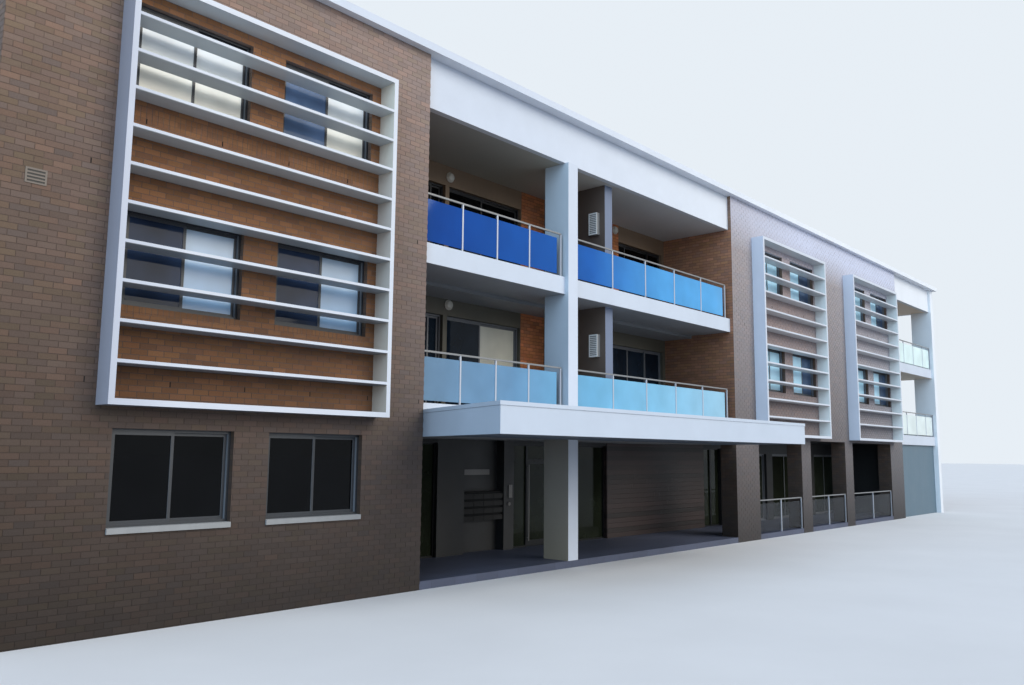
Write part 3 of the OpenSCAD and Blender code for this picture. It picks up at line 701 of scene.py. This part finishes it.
# One tall course on end crosses each sunshade two courses under its top windows
band_top = upper_holes[:, 2].max() - 2 * COURSE
bands = [[a[1], b[0], band_top - BAND, band_top] for a, b in shades]
soldiers = np.concatenate([soldiers, bands])
front_cuts = np.concatenate([front_holes, soldiers, sills[:, [0, 1, 4, 5]]])


def brick_piece(name, along, at, facing, u, v, holes=(), material=brick):
    """Bricks over u by v of a wall face, as one piece."""
    box_piece(name, on_face(bond(u, v, holes), along, at, facing), material)


def spread(row, axis):
    """Where a box starts and ends along X, Y or Z."""
    return row[2 * axis], row[2 * axis + 1]


# The bricks behind the sunshades get a warmer, brighter paint than those out in the open:
# painted warm light in the sunshades' shade
shaded = []
for side, wall in (("left", left_wall), ("right", right_wall)):
    rects = bond((wall[0] - PROUD, wall[1] + PROUD), spread(wall, Z), front_cuts)
    across, up = rects[:, :2].mean(1), rects[:, 2:].mean(1)
    inside = np.zeros(len(rects), bool)
    for a, b in shades:
        inside |= (rects[:, 0] > a[0]) & (across < b[1]) & (up > a[4]) & (up < a[5])
    box_piece(f"bricks_front_{side}", on_face(rects[~inside], "x", 0.0, -1), brick)
    shaded.append(on_face(rects[inside], "x", 0.0, -1))
box_piece("bricks_behind_sunshades", np.concatenate(shaded), shaded_brick)
brick_piece("bricks_left_end", "y", left_end[0], -1, (SEAT, back[3] - SEAT), spread(left_end, Z),
            windows_in(frames, "y", left_end[0]))
brick_piece("bricks_right_end", "y", right_end[1], 1, (right_end[2], back[3] - SEAT),
            spread(right_end, Z), windows_in(frames, "y", right_end[1]))
back_cuts = windows_in(frames, "x", back[3])
middle = (back[0] + back[1]) / 2
brick_piece("bricks_back_left", "x", back[3], 1, (back[0] - PROUD, middle), spread(back, Z),
            back_cuts)
brick_piece("bricks_back_right", "x", back[3], 1, (middle, back[1] + PROUD), spread(back, Z),
            back_cuts)
recess_depth = whole("recess_back_walls")[2]
porch_depth = whole("timber_wall")[2]
recess_top = sides[:, 5].max()
lowest_floor = whole("recess_back_walls")[4]
porch_soffit = whole("balcony_slabs")[4]
# The recess's side walls take the recess bricks, with their painted warm light
rects = np.concatenate([bond((SEAT, porch_depth), (0.0, porch_soffit)),
                        bond((SEAT, recess_depth), (lowest_floor, recess_top))])
box_piece("bricks_recess_left", on_face(rects, "y", left_wall[1], 1), recess_brick)
brick_piece("bricks_recess_right", "y", right_wall[0], -1, (SEAT, recess_depth),
            (right_wall[4], recess_top), material=recess_brick)
brick_piece("bricks_corner_side", "y", right_wall[1], 1, (SEAT, recess_depth),
            (lowest_floor, recess_top))
rows = []
for pier in piers:
    (x0, x1), (y0, y1), height = (spread(pier, axis) for axis in (X, Y, Z))
    across, deep = bond((x0 - PROUD, x1 + PROUD), height), bond((y0 + SEAT, y1 - SEAT), height)
    for rects, along, at, facing in ((across, "x", y0, -1), (across, "x", y1, 1),
                                     (deep, "y", x0, -1), (deep, "y", x1, 1)):
        rows.append(on_face(rects, along, at, facing))
box_piece("bricks_piers", np.concatenate(rows), brick)

# Bricks on end under the upper windows and across the sunshades, in the same painted warm light
rows = []
for u0, u1, v0, v1 in soldiers:
    count = round((u1 - u0) / COURSE)
    edges = np.linspace(u0, u1, count + 1)
    rects = np.stack([edges[:-1] + JOINT / 2, edges[1:] - JOINT / 2,
                      np.full(count, v0 + JOINT / 2), np.full(count, v1)], 1)
    rows.append(on_face(rects, "x", 0.0, -1))
box_piece("bricks_on_end", np.concatenate(rows), shaded_brick)

# Open joints in a course over each upper floor and in one behind the sunshades, each given by
# its number, the X of one joint and its stretches of wall
# Each open joint is a black box in front of the joint, painted shade for its hollow
JOINT_SPACING, HALF_SLOT, SLOT_MARGIN = 1.2, 0.008, 0.006
SLOT_FRONT, SLOT_BACK = -PROUD - 0.0025, 0.001
rows = []
walls = [(wall[0] + 0.1, wall[1] - 0.1) for wall in (left_wall, right_wall)]
behind_shades = [band[:2] for band in bands]
for course, start, stretches in ((72, -6.24, walls), (37, -6.12, walls),
                                 (81, -5.51, behind_shades)):
    z = COURSE_Z + course * COURSE
    for x in start + JOINT_SPACING * np.arange(-1, 28):
        for x0, x1 in stretches:
            if x0 < x < x1:
                rows.append([x - HALF_SLOT, x + HALF_SLOT, SLOT_FRONT, SLOT_BACK,
                             z + SLOT_MARGIN, z + COURSE - SLOT_MARGIN])
box_piece("open_joints", rows, slot_black)

# Brick panels between the balcony doors, as [level, left, right], from floor to soffit; their
# orange is partly their own and partly painted warm light
LEVELS = {1: (3.262, 5.873), 2: (6.358, 9.070)}
panels = [(1, 5.39, 6.315), (2, 5.39, 6.315), (2, 9.30, 9.745)]
rows = [on_face(bond((x0, x1), LEVELS[level]), "x", recess_depth, -1) for level, x0, x1 in panels]
box_piece("bricks_door_panels", np.concatenate(rows), warm_brick)
box_piece("panel_beds", [[x0, x1, recess_depth - 0.002, recess_depth + 0.01, *LEVELS[level]]
                         for level, x0, x1 in panels], warm_brick)

# --- boards and lamps ----------------------------------------------------------------------

# Boards in three lengths a row, with gaps between the rows and finer ones between the lengths
BOARD_DEPTH, HALF_GAP, HALF_BUTT = 0.018, 0.004, 0.0015
wall = whole("timber_wall")
rows = []
for i in range(math.ceil(wall[5] / BOARD_H)):
    z0, z1 = i * BOARD_H + HALF_GAP, min((i + 1) * BOARD_H - HALF_GAP, wall[5])
    cuts = np.sort(rng.uniform(wall[0] + 1.0, wall[1] - 1.0, 2))
    ends = [wall[0] + 0.01, *cuts, wall[1] - 0.01]
    for a, b in zip(ends[:-1], ends[1:]):
        depth = BOARD_DEPTH + rng.uniform(-0.001, 0.001)
        rows.append([a + HALF_BUTT, b - HALF_BUTT, wall[2] - depth, wall[2] + 0.002, z0, z1])
box_piece("timber_boards", rows, timber)

# Turned lamps stand for the plain solids: a base ring, a step and a dome
LAMP = [(0.118, 0.0), (0.120, 0.006), (0.120, 0.026), (0.114, 0.030), (0.104, 0.032),
        (0.100, 0.052), (0.088, 0.070), (0.064, 0.082), (0.030, 0.088), (0.004, 0.0885)]
parts = [lathe(LAMP, ((row[0] + row[1]) / 2, row[3], (row[4] + row[5]) / 2))
         for row in solids("wall_lights")]
lamps = mesh_piece("bulkhead_lamps", *join(parts), lamp_glass, smooth=True)
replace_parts(lamps, "wall_lights")

# --- glass ---------------------------------------------------------------------------------

blinds = solids("window_blinds")


def covered(pane):
    """True where a drawn blind hangs behind 0.4 of the pane's width and 0.3 m of its height."""
    over_x = np.minimum(pane[1], blinds[:, 1]) - np.maximum(pane[0], blinds[:, 0])
    over_z = np.minimum(pane[5], blinds[:, 5]) - np.maximum(pane[4], blinds[:, 4])
    behind = np.abs(pane[2] - blinds[:, 2]) < 0.3
    return bool(((over_x > 0.4 * (pane[1] - pane[0])) & (over_z > 0.3) & behind).any())


for node, stem in (("window_glass", "window"), ("door_glass", "door")):
    rows = solids(node)
    lit = np.array([covered(row) for row in rows])
    sky = ~lit & (rows[:, 4] > FIRST) & (stem == "window")
    for name, chosen, material in (("dark", ~lit & ~sky, dark_glass), ("sky", sky, sky_glass),
                                   ("clear", lit, clear_glass)):
        if chosen.any():
            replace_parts(box_piece(f"{stem}_panes_{name}", rows[chosen], material), node)

rows = solids("balustrade_glass")
level = np.digitize(rows[:, 4], [FIRST, SECOND])
for k, name, material in ((0, "porch_rail_panes", porch_pane), (1, "first_floor_panes", pale_blue),
                          (2, "second_floor_panes", deep_blue)):
    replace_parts(box_piece(name, rows[level == k], material), "balustrade_glass")

# --- floor, light and camera ---------------------------------------------------------------

ground = bpy.data.meshes.new("ground_plane")
REACH = 400.0
ground.from_pydata([(-REACH, -REACH, 0), (REACH, -REACH, 0), (REACH, REACH, 0),
                    (-REACH, REACH, 0)], [], [(0, 1, 2, 3)])
ground_piece = bpy.data.objects.new("ground_plane", ground)
bpy.context.scene.collection.objects.link(ground_piece)


def seen_paths(g):
    """1 for rays that show the background: camera, glossy and transmission rays."""
    paths = g.add("ShaderNodeLightPath").outputs
    return g.math("MAXIMUM", paths["Is Camera Ray"],
                  g.math("MAXIMUM", paths["Is Glossy Ray"], paths["Is Transmission Ray"]))


# The floor looks pale, and throws less light back than it looks to
g = Graph("pale_floor")
mottled = g.noise(g.place(), 0.4, 4.0)
pale_floor = g.mix(g.ramp(mottled, 0.3, 0.7), (0.72, 0.73, 0.75), (0.76, 0.77, 0.79))
ground.materials.append(g.finish(g.mix(seen_paths(g), (0.30, 0.30, 0.31), pale_floor), 0.9))

AMBIENT = (0.36, 0.42, 0.52)
BACKDROP = (0.80, 0.86, 0.92)
world = bpy.data.worlds.new("studio")
bpy.context.scene.world = world
g = Graph("studio", world)
sky_colour = g.mix(seen_paths(g), AMBIENT, BACKDROP)
g.end(g.add("ShaderNodeBackground", None, {"Color": sky_colour, "Strength": 1.0}))


def sun(name, direction, strength, angle, colour):
    """A soft sun that shines along a direction."""
    lamp = bpy.data.lights.new(name, "SUN")
    lamp.energy, lamp.angle, lamp.color = strength, math.radians(angle), colour
    piece = bpy.data.objects.new(name, lamp)
    piece.rotation_euler = Vector(direction).to_track_quat("-Z", "Y").to_euler()
    bpy.context.scene.collection.objects.link(piece)


sun("key", (-0.35, 1.0, -0.60), 2.2, 50, (1.0, 0.94, 0.84))
sun("fill", (1.0, 0.22, -0.30), 2.45, 60, (0.55, 0.77, 1.0))


PHOTO_WIDTH = 1024


def camera(place, yaw, pitch, roll, focal_px):
    """The photograph's view: yaw from +Y towards +X, pitch up, and the roll of the picture."""
    forward = Vector((math.sin(yaw) * math.cos(pitch), math.cos(yaw) * math.cos(pitch),
                      math.sin(pitch)))
    level = Vector((math.cos(yaw), -math.sin(yaw), 0.0))
    upright = level.cross(forward)
    right = level * math.cos(roll) + upright * math.sin(roll)
    up = upright * math.cos(roll) - level * math.sin(roll)
    lens = bpy.data.cameras.new("photo_view")
    lens.sensor_fit, lens.sensor_width = "HORIZONTAL", 36.0
    lens.lens = focal_px / PHOTO_WIDTH * lens.sensor_width
    lens.clip_end = 1000.0
    piece = bpy.data.objects.new("photo_view", lens)
    turn = Matrix((right, up, -forward)).transposed().to_4x4()
    piece.matrix_world = Matrix.Translation(Vector(place) + Vector(ORIGIN)) @ turn
    bpy.context.scene.collection.objects.link(piece)
    bpy.context.scene.camera = piece


camera((-10.837, -11.955, 2.320), math.radians(48.041), math.radians(7.384),
       math.radians(0.528), 859.3)
bpy.context.scene.view_settings.view_transform = "Standard"
